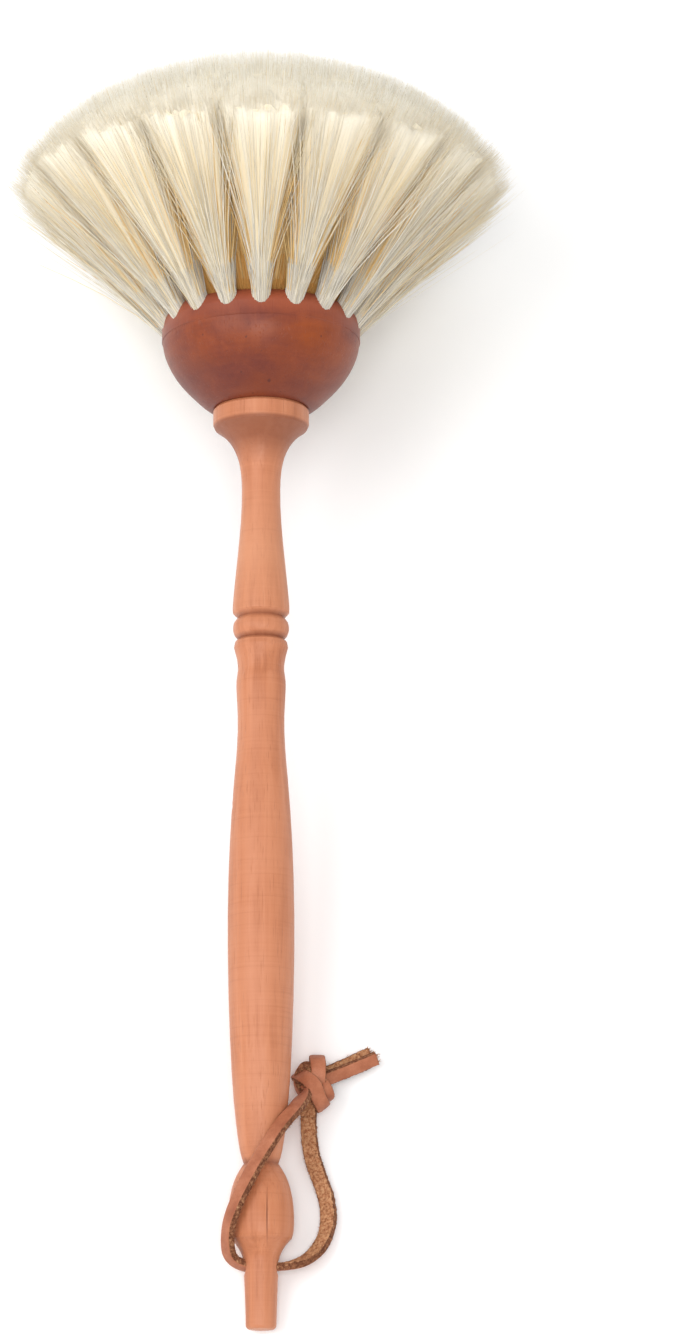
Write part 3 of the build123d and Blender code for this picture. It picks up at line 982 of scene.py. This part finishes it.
def strands_of(tuft):
    """The tuft's visible hair, with a few stray and crossing hairs."""
    rng = np.random.default_rng(tuft.seed + 5)
    count = STRANDS[tuft.ring]
    disk = disk_points(count, rng, 1.15 if tuft.ring == "outer" else 1.0)
    loose = rng.uniform(0, 1, count)
    stray = loose < STRAY_SHARE
    spread = np.where(stray, 0.9, np.where(loose < LOOSE_SHARE, 0.55, 0.2))
    outwards = 0.3 if tuft.ring == "outer" else 0.8
    drift = rng.normal(0, 1, (count, 2)) * spread[:, None] * (1.0, outwards)
    tip_disk = disk * STRAND_FILL + drift
    depth = np.abs(rng.normal(0, 0.55, count)) * MM - 0.15 * MM
    depth += np.where(rng.uniform(0, 1, count) < 0.25, rng.uniform(0, 7, count), 0) * MM
    depth += rng.exponential(3.2, count) * MM * tuft.rim(tip_disk)
    lines = tuft.lines(disk, tip_disk, depth, STRAND_STEPS)
    bow = rng.normal(0, 1, (count, 1, 3)) * np.sin(STRAND_STEPS * math.pi)[None, :, None]
    bow *= np.where(stray, 4.0, 1.0)[:, None, None]
    sway = rng.normal(0, 1, (count, 1, 3)) * (STRAND_STEPS**2)[None, :, None]
    lines = lie_down(lines + (bow * 0.30 + sway * 0.35) * MM)
    slots, dark = strand_slots(tuft, disk, tuft.rim(tip_disk), count, rng)
    radius = rng.uniform(*STRAND_RADII, count)
    radius = np.where(dark | stray, STRAY_RADIUS, radius)
    return tinted_strands(tuft.name + "_hair", lines, radius, slots, rng)


WEB_SEED = 77
WEB_CORNERS = 300
WEB_STRANDS = 4200
GAP_STRANDS = 2800  # these rise behind the gaps between the outer tufts and close their upper halves
GAP_POLAR = math.radians(49.2)  # where they reach the dome
WEB_MOUTH = (20.6 * MM, 272.0 * MM)  # radius and station where it leaves the head's top
WEB_LEAN = math.radians(39)
WEB_POLAR = math.radians(48.4)  # where the rest of the loose hair reaches the dome


def web_lines(turn, slack, polar, depth, steps):
    """Lines of the loose hair between the middle and outer rings."""
    way = face_up * np.cos(turn)[:, None] + right * np.sin(turn)[:, None]
    root = tail_point + axis_dir * WEB_MOUTH[1] + way * (WEB_MOUTH[0] + slack)[:, None]
    direction = axis_dir * math.cos(WEB_LEAN) + way * math.sin(WEB_LEAN)
    normal = axis_dir * np.cos(polar)[:, None] + way * np.sin(polar)[:, None]
    return hair_lines(root, direction, dome_centre + normal * (DOME_RADIUS - depth)[:, None], steps)


def hair_web():
    """Loose hair that closes the gaps between the outer tufts from behind, in colours of painted glow."""
    rng = np.random.default_rng(WEB_SEED)
    corners = WEB_CORNERS
    turn = np.arange(corners) * 2 * math.pi / corners
    slack = rng.normal(0, 0.18, corners) * MM
    polar = WEB_POLAR + rng.normal(0, 0.006, corners)
    rows = web_lines(turn, slack, polar, rng.uniform(4.5, 7.5, corners) * MM, CORE_STEPS)
    points = lie_down(rows.transpose(1, 0, 2).reshape(-1, 3))
    sheet = mesh_object("hair_web", points, tube_faces(len(CORE_STEPS), corners))
    write_attribute(sheet, "along", np.repeat(CORE_STEPS, corners))
    circle = np.tile(turn, len(CORE_STEPS))
    write_attribute(sheet, "side_x", 3 * np.cos(circle))
    write_attribute(sheet, "side_y", 3 * np.sin(circle))
    paint(sheet, CORE_MATERIALS["middle"])
    tufts = HAIR_RINGS[0][1]
    gap_turn = (rng.integers(0, tufts, GAP_STRANDS) + 0.5) * 2 * math.pi / tufts
    turn = np.append(rng.uniform(0, 2 * math.pi, WEB_STRANDS), gap_turn + rng.normal(0, 0.04, GAP_STRANDS))
    polar = np.append(
        WEB_POLAR - np.abs(rng.normal(0, 0.03, WEB_STRANDS)), GAP_POLAR + rng.normal(0, 0.009, GAP_STRANDS)
    )
    count = WEB_STRANDS + GAP_STRANDS
    slack = rng.uniform(0, 0.5, count) * MM
    lines = web_lines(turn, slack, polar, rng.uniform(0.5, 9, count) * MM, STRAND_STEPS)
    sway = rng.normal(0, 0.8, (count, 1, 3)) * (STRAND_STEPS * (1 - STRAND_STEPS / 2))[None, :, None]
    radius = rng.uniform(*STRAND_RADII, count)
    lines = lie_down(lines + sway * MM)
    reach = rng.normal(0, 0.6, count)[:, None] + np.arange(len(STRAND_STEPS) - 1)[None, :]
    # painted glow: amber, straw and cream from the root up, for light passing through the hair
    slots = np.where(reach < 1.2, AMBER_GLOW, np.where(reach < 3.3, STRAW_GLOW, np.where(reach < 4.6, CREAM, IVORY)))
    made = [sheet]
    parts = {"hair_web_strands": slice(WEB_STRANDS), "hair_gap_strands": slice(WEB_STRANDS, None)}
    for name, part in parts.items():
        made.append(tinted_strands(name, lines[part], radius[part], slots[part], rng))
    return made


def add_hair():
    """Every tuft, and the loose hair between them."""
    made = hair_web()
    for ring in HAIR_RINGS:
        for index in range(ring[1]):
            tuft = Tuft(ring, index)
            core, hair = core_of(tuft), strands_of(tuft)
            paint(core, CORE_MATERIALS[tuft.ring])
            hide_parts(tuft.name)
            made += [core, hair]
    for piece in made:
        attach(piece, "root")


add_hair()

# ---- floor and light ----


FLOOR_HALF = 3.0
LIGHTS = {
    # name: place, size, power
    "key": ((-0.85, -0.15, 1.25), 0.9, 8.5),
    "front": ((0.0, -0.5, 1.25), 0.5, 6),
}
LIGHT_AIM = Vector((0, 0, 0.03))
WORLD_STRENGTH = 0.76


def add_floor():
    """A plain pale table top."""
    s = Shader("floor")
    s.surface.inputs["Base Color"].default_value = (0.99, 0.99, 0.99, 1)
    s.surface.inputs["Roughness"].default_value = 0.9
    half = FLOOR_HALF
    corners = [(-half, -half, 0), (half, -half, 0), (half, half, 0), (-half, half, 0)]
    floor = mesh_object("floor", np.array(corners), [(0, 1, 2, 3)], smooth=False)
    paint(floor, s.material)


def add_light(name, place, size, power):
    """A square soft light that faces the brush."""
    data = bpy.data.lights.new(name, "AREA")
    data.size = size
    data.energy = power
    light = bpy.data.objects.new(name, data)
    light.location = place
    light.rotation_euler = (LIGHT_AIM - Vector(place)).to_track_quat("-Z", "Y").to_euler()
    bpy.context.scene.collection.objects.link(light)


def add_lights():
    """The soft lights, and even light from all round."""
    for name, light in LIGHTS.items():
        add_light(name, *light)
    world = bpy.data.worlds.new("world")
    world.use_nodes = True
    background = world.node_tree.nodes["Background"]
    background.inputs["Color"].default_value = (1, 1, 1, 1)
    background.inputs["Strength"].default_value = WORLD_STRENGTH
    bpy.context.scene.world = world


add_floor()
add_lights()
bpy.context.scene.view_settings.view_transform = "Standard"

for strap, mouth_side, half_line in (
    (thong_left, -1, left_line),
    (thong_right, 1, right_line),
):
    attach(strap, "root")
    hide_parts("thong")
